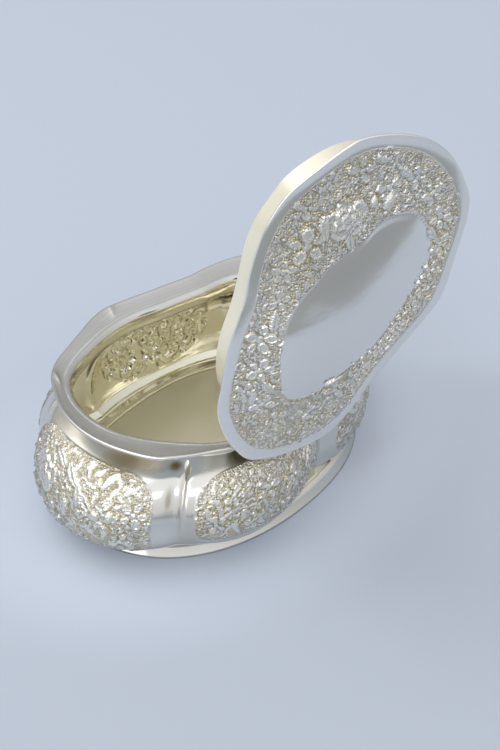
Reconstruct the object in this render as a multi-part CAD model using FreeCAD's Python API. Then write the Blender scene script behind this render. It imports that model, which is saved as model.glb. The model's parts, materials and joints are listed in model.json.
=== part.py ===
import FreeCAD, Part
import math
import os

# Lidded silver trinket box with a lobed rim, in millimetres.
# The origin is at the centre of the foot, on the surface that the box stands on.
# The long axis is X. The loose lid stands on the lip of the long side that faces -Y.

Vector = FreeCAD.Vector

# sheet and solder
sheet = 1.0
plate_sheet = 1.0
bezel_sheet = 0.8
solder_gap = 0.15

# heights of the body
total_height = 43.8
lip_rise = 1.8
neck_height = 3.6
belly_height = 16.0
foot_height = 3.4
floor_height = 4.0

# foot
foot_half_length = 54.4
foot_half_width = 38.1
foot_roundness = 2.2
floor_flange = 5.0

# belly: how far it stands out past the rim on the long sides and at the ends
swell_side = 2.0
swell_end = 6.5
flute_sharpness = 0.8

# outlines seen from above as (angle in degrees, radius), in the turn from +X to +Y
rim_stations = (
    (0, 58.9), (15, 56.2), (27, 53.0), (32, 50.4), (40, 45.2), (50, 39.8), (62, 37.2), (75, 36.4),
    (88, 37.6), (100, 40.0), (109, 40.9), (120, 42.2), (131, 45.2), (140, 49.2), (147, 51.9),
    (156, 54.0), (167, 56.8), (180, 58.9), (193, 59.4), (203, 59.2), (209, 53.8), (217, 52.9),
    (229, 50.9), (240, 46.4), (251, 41.4), (263, 37.2), (275, 34.4), (287, 34.4), (300, 36.2),
    (312, 38.8), (322, 42.4), (331, 47.6), (340, 51.6), (350, 55.6),
)
neck_stations = (
    (0, 50.5), (28, 42.2), (45, 33.5), (72, 29.2), (97, 31.6), (125, 37.3), (152, 47.5),
    (180, 51.0), (205, 48.2), (227, 45.5), (250, 36.0), (275, 29.4), (300, 31.0), (325, 39.0),
    (345, 47.5),
)

# the flutes between the panels, and how far the panel that starts at each one bulges
corner_angles = (32, 109, 147, 208, 285, 334)
panel_bulges = (3.0, 3.0, 3.0, 3.0, 5.0, 3.0)

# lip
lip_edge = 0.6
lip_round = 0.4
lip_bevel = 0.5
throat_round = 0.9

# lid
lid_ratio = 0.9407
lid_seat = 10.5
lid_dome = 2.6
bezel_depth = 12.0
bezel_inset = 7.0
bezel_softness = 22.0

# how the lid stands: its face, its lean, its turn in its own plane, and the centre of its seat
lid_facing = 247.1
lid_lean = -4.5
lid_roll = 25.6
lid_along = -10.4
lid_outward = 52.0
lid_rise = 43.2

# raised flowers: how deep their roots go and how high they stand, each a start and a share of the radius
root_start = 0.6
root_share = 0.3
relief_start = 0.5
relief_share = 0.25
flute_margin = 7.0

# bouquets as (petals, place from -1 to 1 along the panel, height over the belly line, radius);
# a flower with no petals is a leaf
end_bouquet = (
    (8, 0.43, 6.5, 7.4), (6, -0.44, 9.5, 6.4), (5, -0.22, -2.0, 4.8), (5, 0.86, 8.5, 4.4), (5, 0.72, -1.5, 3.8),
    (5, -0.82, 9.5, 3.6), (5, -0.72, -1.5, 4.0), (5, 0.24, -6.0, 3.6), (0, 0.02, 13.5, 4.4), (0, 0.0, 5.0, 4.0),
    (0, 0.50, 15.8, 3.6),
)
side_bouquet = (
    (6, 0.60, 8.0, 5.2), (5, 0.10, 8.0, 4.2), (5, -0.27, 10.5, 4.2), (5, -0.66, 12.5, 3.6), (5, 0.96, 6.0, 3.4),
    (5, 0.38, -0.5, 3.8), (5, -0.04, -0.5, 3.6), (5, -0.44, 2.0, 3.6), (5, -0.84, 4.5, 3.4), (5, 0.80, -0.5, 3.4),
    (0, 0.30, 15.5, 3.8), (0, -0.20, -5.5, 3.6),
)
corner_bouquet = (
    (6, -0.10, 8.5, 5.6), (5, 0.62, 4.0, 4.0), (5, -0.60, -0.5, 3.8), (5, 0.10, -2.0, 3.6), (0, 0.45, 13.5, 3.8),
    (0, -0.75, 12.5, 3.4),
)
panel_bouquets = (side_bouquet, corner_bouquet, end_bouquet, side_bouquet, corner_bouquet, end_bouquet)

# the wreath on the lid as (petals, place along, place across, radius)
lid_wreath = (
    (6, -28.0, -14.5, 6.8), (5, -17.6, -22.3, 6.0), (5, -8.4, -25.2, 3.9), (5, 0.6, -21.8, 3.6), (5, 13.8, -20.8, 5.2),
    (5, 23.6, -15.4, 4.4), (5, 32.0, -16.5, 3.8), (5, 35.0, -8.0, 4.2), (5, 40.0, 0.5, 3.9), (5, 41.5, -8.5, 3.0),
    (5, 35.5, 10.5, 3.9), (5, 27.4, 15.6, 4.2), (5, 19.5, 21.4, 3.4), (5, 11.5, 24.2, 2.9), (5, 3.0, 25.6, 3.0),
    (5, -6.5, 26.8, 3.4), (5, -16.0, 26.4, 3.6), (5, -25.0, 25.0, 3.8), (5, -33.5, 19.6, 4.3), (5, -40.0, 12.0, 4.1),
    (5, -44.0, 3.6, 3.9), (5, -39.5, -5.0, 4.4), (5, -46.8, -6.6, 3.2), (5, -42.4, -16.6, 4.8), (5, -37.0, -25.2, 3.6),
    (5, -28.2, -28.8, 4.2),
)

# points round each section
ring_points = 48
soften_reach = 18


def spline_radius(stations, angle):
    """Radius at an angle, on a smooth closed curve through the stations."""
    count = len(stations)
    angle = angle % 360
    index = max(i for i in range(count) if stations[i][0] <= angle)
    knots = []
    for step in (-1, 0, 1, 2):
        position = index + step
        turn = 360 * (position // count)
        station = stations[position % count]
        knots.append((station[0] + turn, station[1]))
    (a0, r0), (a1, r1), (a2, r2), (a3, r3) = knots
    share = (angle - a1) / (a2 - a1)
    slope_in = (r2 - r0) / (a2 - a0) * (a2 - a1)
    slope_out = (r3 - r1) / (a3 - a1) * (a2 - a1)
    square = share * share
    cube = square * share
    start = (2 * cube - 3 * square + 1) * r1
    end = (3 * square - 2 * cube) * r2
    bend_in = (cube - 2 * square + share) * slope_in
    bend_out = (cube - square) * slope_out
    return start + end + bend_in + bend_out


def rim_radius(angle):
    return spline_radius(rim_stations, angle)


def soft_radius(angle, reach):
    """The rim outline with its nicks smoothed away over a reach in degrees."""
    offsets = (-reach, -0.5 * reach, 0, 0.5 * reach, reach)
    return sum(rim_radius(angle + offset) for offset in offsets) / len(offsets)


def neck_radius(angle):
    return spline_radius(neck_stations, angle)


def foot_radius(angle):
    cosine = abs(math.cos(math.radians(angle))) / foot_half_length
    sine = abs(math.sin(math.radians(angle))) / foot_half_width
    return (cosine ** foot_roundness + sine ** foot_roundness) ** (-1 / foot_roundness)


def panel_arch(angle):
    """How far the panel stands out at an angle, nothing in a flute."""
    angle = angle % 360
    for index, start in enumerate(corner_angles):
        end = corner_angles[(index + 1) % len(corner_angles)]
        span = (end - start) % 360
        along = (angle - start) % 360
        if along < span:
            return panel_bulges[index] * math.sin(math.pi * along / span) ** flute_sharpness
    return 0.0


def belly_radius(angle):
    lengthwise = math.cos(math.radians(angle)) ** 2
    swell = swell_side + (swell_end - swell_side) * lengthwise
    return soft_radius(angle, soften_reach) + swell + panel_arch(angle)


def ring(radius_at, height, offset=0.0):
    """A closed smooth wire at one height."""
    points = []
    parameters = []
    for index in range(ring_points):
        angle = 360 * index / ring_points
        radius = radius_at(angle) + offset
        turn = math.radians(angle)
        points.append(Vector(radius * math.cos(turn), radius * math.sin(turn), height))
        parameters.append(angle)
    parameters.append(360)
    curve = Part.BSplineCurve()
    curve.interpolate(Points=points, PeriodicFlag=True, Parameters=parameters)
    return Part.Wire([curve.toShape()])


def skin(wires, ruled=False):
    """The surface through a list of rings."""
    return Part.makeLoft(wires, False, ruled).Faces


def flat_ring(outer, inner):
    """A flat face between two rings at one height."""
    face = Part.Face(outer)
    return face.cut(Part.Face(inner)).Faces


def closed_solid(faces):
    """One solid from faces that share their edges."""
    shell = Part.makeShell(faces)
    shell.sewShape()
    solid = Part.makeSolid(shell)
    if solid.Volume < 0:
        solid.reverse()
    return solid


def blend(weights):
    """A radius function from shares of the foot, belly and neck outlines."""
    foot, belly, neck = weights

    def radius_at(angle):
        radius = foot * foot_radius(angle) if foot else 0.0
        radius += belly * belly_radius(angle) if belly else 0.0
        radius += neck * neck_radius(angle) if neck else 0.0
        return radius
    return radius_at


def wall_sections():
    """Heights and shares of (foot, belly, neck) up the outside of the wall."""
    neck_bottom = total_height - lip_rise - sheet - neck_height
    rise = neck_bottom - belly_height
    drop = belly_height - foot_height
    return (
        (foot_height, (1.0, 0.0, 0.0)),
        (foot_height + 0.18 * drop, (0.50, 0.50, 0.0)),
        (foot_height + 0.50 * drop, (0.14, 0.86, 0.0)),
        (belly_height, (0.0, 1.0, 0.0)),
        (belly_height + 0.33 * rise, (0.0, 0.95, 0.05)),
        (belly_height + 0.60 * rise, (0.0, 0.78, 0.22)),
        (belly_height + 0.80 * rise, (0.0, 0.50, 0.50)),
        (belly_height + 0.93 * rise, (0.0, 0.17, 0.83)),
        (neck_bottom, (0.0, 0.0, 1.0)),
    )


def mean_radius(radius_at):
    return sum(radius_at(angle) for angle in range(0, 360, 15)) / 24


def inside_of(sections):
    """The same wall one sheet further in, square to the mean profile."""
    profile = [(mean_radius(blend(weights)), height) for height, weights in sections]
    moved = []
    for index, (height, weights) in enumerate(sections):
        before = profile[max(index - 1, 0)]
        after = profile[min(index + 1, len(profile) - 1)]
        along = Vector(after[0] - before[0], after[1] - before[1], 0).normalize()
        moved.append((height + sheet * along.x, weights, -sheet * along.y))
    return moved


def flower(point_at, root_at, petals, radius):
    """A raised flower, or a leaf when it has no petals.

    point_at turns places across, along and above the surface into a point, and root_at takes such a
    point straight down to the flat root inside the sheet.
    """
    height = relief_start + relief_share * radius
    facets = []
    if petals == 0:
        outline = [(1.0, 0.0), (0.35, 0.42), (-0.35, 0.40), (-1.0, 0.0), (-0.35, -0.40), (0.35, -0.42)]
        edge = [point_at(radius * x, radius * y, 0.25 * height) for x, y in outline]
        tip = point_at(0.4 * radius, 0, 0.85 * height)
        stem = point_at(-0.4 * radius, 0, 0.85 * height)
        facets += [(edge[0], edge[1], tip), (edge[1], stem, tip), (edge[1], edge[2], stem), (edge[2], edge[3], stem)]
        facets += [(edge[3], edge[4], stem), (edge[4], edge[5], stem), (edge[5], tip, stem), (edge[5], edge[0], tip)]
    else:
        def spoke(turns, share, rise):
            turn = 2 * math.pi * turns / petals
            return point_at(share * radius * math.cos(turn), share * radius * math.sin(turn), rise * height)

        edge = []
        eye = point_at(0, 0, 0.65 * height)
        for index in range(petals):
            crest = spoke(index, 0.62, 1.0)
            notch = spoke(index - 0.5, 0.56, 0.25)
            start = spoke(index - 0.24, 0.97, 0.25)
            end = spoke(index + 0.24, 0.97, 0.25)
            last = spoke(index + 0.5, 0.56, 0.25)
            facets += [(eye, notch, crest), (eye, crest, last)]
            facets += [(notch, start, crest), (start, end, crest), (end, last, crest)]
            edge += [notch, start, end]
    root = [root_at(corner) for corner in edge]
    for index, corner in enumerate(edge):
        after = (index + 1) % len(edge)
        facets.append((corner, root[index], root[after], edge[after]))
    facets.append(root)
    return closed_solid([Part.Face(Part.makePolygon(list(facet) + [facet[0]])) for facet in facets])


def carve(skin_faces, caps, flowers):
    """The skin with the flowers grown out of it: closed by flat caps, fused, and opened again."""
    levels = [cap.BoundBox.ZMin for cap in caps]
    grown = closed_solid(skin_faces + caps).fuse(flowers).Solids[0]
    kept = []
    for face in grown.Faces:
        box = face.BoundBox
        if box.ZLength > 0.001 or min(abs(box.ZMin - level) for level in levels) > 0.001:
            kept.append(face)
    return kept


def panel_flowers(wall):
    """The bouquets of all the panels, rooted in the outside of the wall."""
    first, last, low, high = wall.bounds()

    def share_at(height):
        """The place up the wall at a height, by halving."""
        below, above = low, high
        for _ in range(30):
            middle = (below + above) / 2
            if wall.value(first, middle).z < height:
                below = middle
            else:
                above = middle
        return below

    def rooted(angle, height):
        """Places near one spot of the wall."""
        spot = wall.value(first + (last - first) * angle / 360, share_at(height))
        reach = math.hypot(spot.x, spot.y)
        above = wall.value(first + (last - first) * angle / 360, share_at(height + 1))
        climb = 1 / (above - spot).Length

        def point_at(across, up, out):
            turned = (angle + math.degrees(across / reach)) % 360
            u = first + (last - first) * turned / 360
            v = share_at(height + climb * up)
            place = wall.value(u, v)
            normal = wall.normal(u, v)
            if normal.x * place.x + normal.y * place.y < 0:
                normal = -normal
            return place + normal * out

        middle = point_at(0, 0, 0)
        outward = point_at(0, 0, 1) - middle

        def root_at(depth):
            def sink(corner):
                return corner - outward * ((corner - middle).dot(outward) + depth)
            return sink
        return point_at, root_at

    flowers = []
    for index, start in enumerate(corner_angles):
        span = (corner_angles[(index + 1) % len(corner_angles)] - start) % 360
        for petals, place, rise, radius in panel_bouquets[index]:
            angle = (start + span / 2 + place * (span / 2 - flute_margin)) % 360
            point_at, root_at = rooted(angle, belly_height + rise)
            flowers.append(flower(point_at, root_at(root_start + root_share * radius), petals, radius))
    return flowers


def make_body():
    """Raised body: foot band, panelled wall, neck, dished lip and the floor flange."""
    foot_inside = ring(foot_radius, 0, -sheet)
    foot_outside = ring(foot_radius, 0)
    sections = wall_sections()
    outer = [ring(blend(weights), height) for height, weights in sections]
    lip_height = total_height - lip_rise
    neck_top = ring(neck_radius, lip_height - sheet)
    lip_under = ring(rim_radius, total_height - lip_round - lip_edge, -lip_round)
    lip_side = ring(rim_radius, total_height - lip_round)
    lip_top = ring(rim_radius, total_height, -lip_bevel)
    lip_inner = ring(neck_radius, lip_height, throat_round)
    throat = ring(neck_radius, lip_height - throat_round, -sheet)
    flange_top = floor_height + sheet
    inner = []
    for height, weights, offset in inside_of(sections)[1:]:
        if height > flange_top + 0.5:
            inner.append(ring(blend(weights), height, offset))
    corner = ring(blend(sections[1][1]), flange_top, -sheet)
    flange_edge_top = ring(foot_radius, flange_top, -sheet - floor_flange)
    flange_edge_low = ring(foot_radius, floor_height, -sheet - floor_flange)
    seat_edge = ring(foot_radius, floor_height, -sheet)
    faces = []
    faces += flat_ring(foot_outside, foot_inside)
    faces += skin([foot_outside, outer[0]], True)
    wall = skin(outer)
    faces += carve(wall, [Part.Face(outer[0]), Part.Face(outer[-1])], panel_flowers(wall[0].Surface))
    faces += skin([outer[-1], neck_top], True)
    faces += skin([neck_top, lip_under], True)
    faces += skin([lip_under, lip_side], True)
    faces += skin([lip_side, lip_top], True)
    faces += skin([lip_top, lip_inner], True)
    faces += skin([lip_inner, throat], True)
    faces += skin([throat, inner[-1]], True)
    faces += skin([corner] + inner)
    faces += flat_ring(corner, flange_edge_top)
    faces += skin([flange_edge_top, flange_edge_low], True)
    faces += flat_ring(seat_edge, flange_edge_low)
    faces += skin([seat_edge, foot_inside], True)
    return closed_solid(faces)


def make_base_plate():
    """Flat floor, soldered under the flange inside the foot."""
    edge = ring(foot_radius, floor_height - plate_sheet, -sheet - solder_gap)
    return Part.Face(edge).extrude(Vector(0, 0, plate_sheet))


def lid_radius(angle):
    return lid_ratio * rim_radius(angle)


def bezel_radius(angle):
    return lid_ratio * soft_radius(angle, bezel_softness) - bezel_inset


def make_lid_cover():
    """Lid plate with a plain border, flat over the bezel and domed inside it."""
    def seat_radius(angle):
        return lid_ratio * soft_radius(angle, bezel_softness) - lid_seat

    def scaled(share):
        def radius_at(angle):
            return share * seat_radius(angle)
        return radius_at

    edge_low = ring(lid_radius, 0)
    edge_top = ring(lid_radius, sheet - 0.3)
    border_top = ring(lid_radius, sheet, -0.4)
    seat_top = ring(seat_radius, sheet)
    seat_low = ring(seat_radius, 0)
    shares = (0.97, 0.80, 0.55, 0.28)
    heights = (0.02, 0.45, 0.80, 1.0)
    top = [seat_top]
    low = [seat_low]
    for share, height in zip(shares, heights):
        top.append(ring(scaled(share), sheet + height * lid_dome))
        low.append(ring(scaled(share), height * lid_dome))
    dome = Part.makeShell(skin(top) + [Part.Face(top[-1])])

    def top_at(x, y):
        """Height of the plate at a place."""
        if math.hypot(x, y) > seat_radius(math.degrees(math.atan2(y, x))):
            return sheet
        line = Part.makeLine(Vector(x, y, 0), Vector(x, y, 2 * lid_dome + sheet))
        return dome.distToShape(line)[1][0][0].z

    def root_at(corner):
        return Vector(corner.x, corner.y, sheet / 2)

    flowers = []
    for petals, along, across, radius in lid_wreath:
        def point_at(x, y, out, along=along, across=across):
            return Vector(along + x, across + y, top_at(along + x, across + y) + out)
        flowers.append(flower(point_at, root_at, petals, radius))
    upper = skin([edge_low, edge_top], True) + skin([edge_top, border_top], True)
    upper += flat_ring(border_top, seat_top) + dome.Faces
    faces = carve(upper, [Part.Face(edge_low)], flowers)
    faces += [Part.Face(low[-1])]
    faces += skin(low)
    faces += flat_ring(edge_low, seat_low)
    return closed_solid(faces)


def make_lid_bezel():
    """Plain band soldered to the underside of the lid plate."""
    outside = Part.Face(ring(bezel_radius, 0))
    inside = Part.Face(ring(bezel_radius, 0, -bezel_sheet))
    band = outside.cut(inside).Faces[0]
    return band.extrude(Vector(0, 0, -bezel_depth))


def stand_lid(shape):
    """Turn the lid from its flat frame to the way it stands on the lip."""
    facing = math.radians(lid_facing)
    lean = math.radians(lid_lean)
    roll = math.radians(lid_roll)
    centre = Vector(lid_along, -lid_outward, total_height + lid_rise)
    normal = Vector(math.cos(facing) * math.cos(lean), math.sin(facing) * math.cos(lean), math.sin(lean))
    sideways = normal.cross(Vector(0, 0, -1)).normalize()
    down = sideways.cross(normal)
    long_axis = down * math.cos(roll) - sideways * math.sin(roll)
    short_axis = normal.cross(long_axis)
    matrix = FreeCAD.Matrix(
        long_axis.x, short_axis.x, normal.x, centre.x,
        long_axis.y, short_axis.y, normal.y, centre.y,
        long_axis.z, short_axis.z, normal.z, centre.z,
        0, 0, 0, 1)
    placed = shape.copy()
    placed.Placement = FreeCAD.Placement(matrix)
    return placed


os.makedirs("parts", exist_ok=True)
pieces = {
    "box_body": make_body(),
    "base_plate": make_base_plate(),
    "lid_cover": stand_lid(make_lid_cover()),
    "lid_bezel": stand_lid(make_lid_bezel()),
}
for name, solid in pieces.items():
    solid.exportStep("parts/" + name + ".step")
    box = solid.BoundBox
    print(name, solid.ShapeType, solid.isValid(), round(solid.Volume, 1), box)
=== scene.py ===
import json
import math

import bpy
import numpy as np
from mathutils import Matrix, Vector

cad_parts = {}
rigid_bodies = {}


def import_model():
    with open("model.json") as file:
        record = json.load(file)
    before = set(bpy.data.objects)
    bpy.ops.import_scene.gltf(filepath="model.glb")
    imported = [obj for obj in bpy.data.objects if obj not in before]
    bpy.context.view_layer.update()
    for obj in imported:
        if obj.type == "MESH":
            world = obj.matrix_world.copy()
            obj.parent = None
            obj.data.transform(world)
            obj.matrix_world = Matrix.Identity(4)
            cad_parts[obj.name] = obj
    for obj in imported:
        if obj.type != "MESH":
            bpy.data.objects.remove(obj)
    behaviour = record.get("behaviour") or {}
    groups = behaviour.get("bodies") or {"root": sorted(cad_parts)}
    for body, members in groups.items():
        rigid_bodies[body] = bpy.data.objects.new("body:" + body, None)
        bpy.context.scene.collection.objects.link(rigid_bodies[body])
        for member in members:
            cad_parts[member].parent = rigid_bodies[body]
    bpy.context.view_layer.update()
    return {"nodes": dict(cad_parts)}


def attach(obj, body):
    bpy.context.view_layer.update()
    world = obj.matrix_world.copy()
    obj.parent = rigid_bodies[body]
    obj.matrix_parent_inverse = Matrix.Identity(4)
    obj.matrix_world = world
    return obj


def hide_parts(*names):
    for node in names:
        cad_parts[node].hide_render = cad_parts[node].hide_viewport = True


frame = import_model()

# The box and its lid are worked in millimetres and turned to metres when a mesh is made.
metre = 0.001


def smoothStep(low, high, value):
    share = np.clip((value - low) / (high - low), 0, 1)
    return share * share * (3 - 2 * share)


def hermite(t, start, end, startSlope, endSlope):
    # smooth step from one knot to the next
    return ((2 * t**3 - 3 * t**2 + 1) * start + (3 * t**2 - 2 * t**3) * end
            + (t**3 - 2 * t**2 + t) * startSlope + (t**3 - t**2) * endSlope)


def stationCurve(stations, angle):
    # smooth closed curve through (angle, radius) stations
    knots = np.array([s[0] for s in stations], float)
    radii = np.array([s[1] for s in stations], float)
    knots = np.concatenate([knots - 360, knots, knots + 360])
    radii = np.tile(radii, 3)
    slopes = np.zeros(len(radii))
    slopes[1:-1] = (radii[2:] - radii[:-2]) / (knots[2:] - knots[:-2])
    angle = np.asarray(angle, float) % 360
    index = np.searchsorted(knots, angle, side="right") - 1
    span = knots[index + 1] - knots[index]
    t = (angle - knots[index]) / span
    return hermite(t, radii[index], radii[index + 1], span * slopes[index], span * slopes[index + 1])


def polar(radius, angle):
    turn = np.radians(angle)
    return radius * np.cos(turn), radius * np.sin(turn)


def turnFrom(angles, angle):
    # degrees from one angle, between -180 and 180
    return (angles - angle + 180) % 360 - 180


# raised flowers

def cup(u, v, length, width):
    # one petal: a flat dish with a thin raised rim and a steep outer edge
    bend = (u / length) ** 2 + (v / width) ** 2
    rim = 0.45 * np.exp(-((np.sqrt(bend) - 0.80) / 0.14) ** 2)
    return (0.60 + rim + 0.08 * u / length) * np.clip(1 - bend ** 5, 0, 1) ** 0.5 * (bend < 1)


def petalRing(x, y, size, turn, petals, shares, low, rise):
    # shares of the size: how far out each petal stands, its half length and its half width
    reach, length, width = (size * share for share in shares)
    height = np.zeros_like(x)
    for index in range(petals):
        direction = turn + 2 * math.pi * index / petals + 0.10 * math.sin(5.1 * index + 3 * turn)
        grown = 1 + 0.16 * math.sin(3.7 * index + 7 * turn)
        u = x * math.cos(direction) + y * math.sin(direction) - reach
        v = -x * math.sin(direction) + y * math.cos(direction)
        petal = cup(u, v, length * grown, width * grown)
        lean = 1 + 0.10 * u / length + 0.06 * math.sin(2.4 * index)
        height = np.maximum(height, (low + rise * petal * lean) * (petal > 0))
    return height


def heart(x, y, radius, base, rise, rings):
    # the button of a flower, punched all over with small dots
    r = np.hypot(x, y) / radius
    dots = 0.10 * np.cos(rings * r * math.pi) * np.cos(5 * np.arctan2(y, x))
    return np.where(r < 1, base + rise * (np.sqrt(np.clip(1 - r * r, 0, 1)) + dots), 0)


def blossom(x, y, size, turn, height):
    spread = petalRing(x, y, size, turn, 5, (0.62, 0.38, 0.27), 0.12 * height, 0.75 * height)
    return np.maximum(spread, heart(x, y, 0.25 * size, 0.15 * height, 0.45 * height, 3))


def daisy(x, y, size, turn, height):
    outer = petalRing(x, y, size, turn, 7, (0.78, 0.20, 0.20), 0.10 * height, 0.35 * height)
    rays = petalRing(x, y, size, turn + 0.3, 15, (0.46, 0.22, 0.075), 0.35 * height, 0.35 * height)
    return np.maximum(np.maximum(outer, rays), heart(x, y, 0.22 * size, 0.60 * height, 0.30 * height, 4))


def rose(x, y, size, turn, height):
    outer = petalRing(x, y, size, turn, 5, (0.64, 0.38, 0.42), 0.10 * height, 0.38 * height)
    middle = petalRing(x, y, size, turn + 0.6, 5, (0.38, 0.27, 0.28), 0.36 * height, 0.44 * height)
    core = petalRing(x, y, size, turn + 0.2, 3, (0.17, 0.19, 0.22), 0.58 * height, 0.44 * height)
    return np.maximum(np.maximum(outer, middle), core)


def leaf(x, y, size, turn, height):
    u = (x * math.cos(turn) + y * math.sin(turn)) / size
    v = -x * math.sin(turn) + y * math.cos(turn) - 0.10 * size * u * u
    notches = 1 + 0.10 * np.cos(9 * math.pi * u)
    half = 0.38 * size * np.clip(1 - u * u, 0, 1) ** 0.7 * (1 - 0.28 * u) * notches + 1e-6
    across = np.abs(v) / half
    rib = 0.30 * np.exp(-(v / (0.06 * size)) ** 2)
    veins = 0.10 * np.cos((u * size - 0.8 * np.abs(v)) / (0.16 * size) * math.pi)
    body = height * (0.30 + 0.55 * np.sqrt(np.clip(1 - across ** 3, 0, 1)) - rib + veins * across)
    return np.where((across < 1) & (np.abs(u) < 1), np.maximum(body, 0.12), 0)


def bud(x, y, size, turn, height):
    u = (x * math.cos(turn) + y * math.sin(turn)) / size
    v = (-x * math.sin(turn) + y * math.cos(turn)) / (0.62 * size)
    bend = u * u + v * v
    split = 0.25 * np.exp(-(v / 0.16) ** 2) * smoothStep(-0.3, 0.7, u)
    return np.where(bend < 1, height * (np.clip(1 - bend, 0, 1) ** 0.4 - split), 0)


def scroll(x, y, size, turn, height):
    # a curled stem that thickens to its eye
    u = x * math.cos(turn) + y * math.sin(turn)
    v = -x * math.sin(turn) + y * math.cos(turn)
    phi = np.mod(np.arctan2(v, u), 2 * math.pi)
    off = np.abs(np.hypot(u, v) - size * (0.30 + 0.70 * phi / (2 * math.pi))) / (0.20 * size)
    return np.where(off < 1, height * np.sqrt(np.clip(1 - off * off, 0, 1)), 0)


flowerTurn = 137  # degrees that each flower is turned from the one before, so that no two stand alike
stampKinds = {"blossom": blossom, "daisy": daisy, "rose": rose, "leaf": leaf, "bud": bud, "scroll": scroll}


def layRelief(height, windowAt, stamps):
    # each stamp is (kind, place, place, size in mm, turn in degrees, height in mm)
    for kind, a, b, size, turn, rise in stamps:
        window, x, y = windowAt(a, b, 1.2 * size)
        shape = stampKinds[kind](x, y, size, math.radians(turn), rise)
        height[window] = np.maximum(height[window], shape)


def sprinkle(height, windowAt, spots, inside, sizes, fill, seed):
    # small leaves, buds, curls and blossoms in the gaps that the large flowers leave
    random = np.random.default_rng(seed)
    laid = 0
    for a, b in spots(random):
        kind = random.choice(["leaf", "leaf", "leaf", "leaf", "bud", "scroll", "scroll", "blossom"])
        size = random.uniform(*sizes) * {"bud": 0.55, "scroll": 0.70}.get(kind, 1.0)
        turn = random.uniform(0, 360)
        rise = random.uniform(0.40, 0.85)
        window, x, y = windowAt(a, b, size)
        near = np.hypot(x, y) < 0.8 * size
        if not near.any() or inside[window][near].min() < 0.5 or (height[window][near] > 0.10).mean() > fill:
            continue
        layRelief(height, windowAt, [(kind, a, b, size, turn, rise)])
        laid += 1
    return laid


def blurGrid(values, steps):
    # soft copy of a grid that closes on itself along its columns
    out = values.copy()
    for _ in range(steps):
        out = (np.roll(out, 1, 1) + 2 * out + np.roll(out, -1, 1)) / 4
        before = np.concatenate([out[:1], out[:-1]])
        after = np.concatenate([out[1:], out[-1:]])
        out = (before + 2 * out + after) / 4
    return out


def gridNormals(points):
    along = np.roll(points, -1, 1) - np.roll(points, 1, 1)
    up = np.gradient(points, axis=0)
    normals = np.cross(along, up)
    return normals / (np.linalg.norm(normals, axis=2, keepdims=True) + 1e-9)


def meshFromGrid(name, points, attributes, capEnds=False):
    # rows of points in mm, each closed on itself, made into a mesh with its masks as attributes
    rows, columns = points.shape[:2]
    index = np.arange(rows * columns).reshape(rows, columns)
    nextColumn = np.roll(index, -1, 1)
    faces = np.stack([index[:-1], nextColumn[:-1], nextColumn[1:], index[1:]], 2).reshape(-1, 4).tolist()
    if capEnds:
        faces += [index[0][::-1].tolist(), index[-1].tolist()]
    mesh = bpy.data.meshes.new(name)
    mesh.from_pydata((points.reshape(-1, 3) * metre).tolist(), [], faces)
    for key, values in attributes.items():
        layer = mesh.attributes.new(key, "FLOAT", "POINT")
        layer.data.foreach_set("value", values.reshape(-1).astype(np.float32))
    mesh.polygons.foreach_set("use_smooth", [True] * len(mesh.polygons))
    mesh.update()
    piece = bpy.data.objects.new(name, mesh)
    bpy.context.scene.collection.objects.link(piece)
    return piece


# The body: sheet silver raised into six bulging panels between plain flutes.
# each flower is (kind, place across the panel from -1 to 1, mm above the belly, size in mm)
endBouquet = (
    ("daisy", 0.43, 6.5, 7.4), ("rose", -0.44, 9.5, 6.4), ("blossom", -0.22, -2.0, 4.8), ("blossom", 0.86, 8.5, 4.4),
    ("blossom", 0.72, -1.5, 3.8), ("blossom", -0.82, 9.5, 3.6), ("blossom", -0.72, -1.5, 4.0),
    ("blossom", 0.24, -6.0, 3.6), ("leaf", 0.02, 13.5, 4.4), ("leaf", 0.0, 5.0, 4.0), ("leaf", 0.50, 15.8, 3.6),
)
sideBouquet = (
    ("rose", 0.60, 8.0, 5.2), ("blossom", 0.10, 8.0, 4.2), ("blossom", -0.27, 10.5, 4.2), ("blossom", -0.66, 12.5, 3.6),
    ("blossom", 0.96, 6.0, 3.4), ("blossom", 0.38, -0.5, 3.8), ("blossom", -0.04, -0.5, 3.6),
    ("blossom", -0.44, 2.0, 3.6), ("blossom", -0.84, 4.5, 3.4), ("blossom", 0.80, -0.5, 3.4),
    ("leaf", 0.30, 15.5, 3.8), ("leaf", -0.20, -5.5, 3.6),
)
cornerBouquet = (
    ("rose", -0.10, 8.5, 5.6), ("blossom", 0.62, 4.0, 4.0), ("blossom", -0.60, -0.5, 3.8), ("blossom", 0.10, -2.0, 3.6),
    ("leaf", 0.45, 13.5, 3.8), ("leaf", -0.75, 12.5, 3.4),
)

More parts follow.
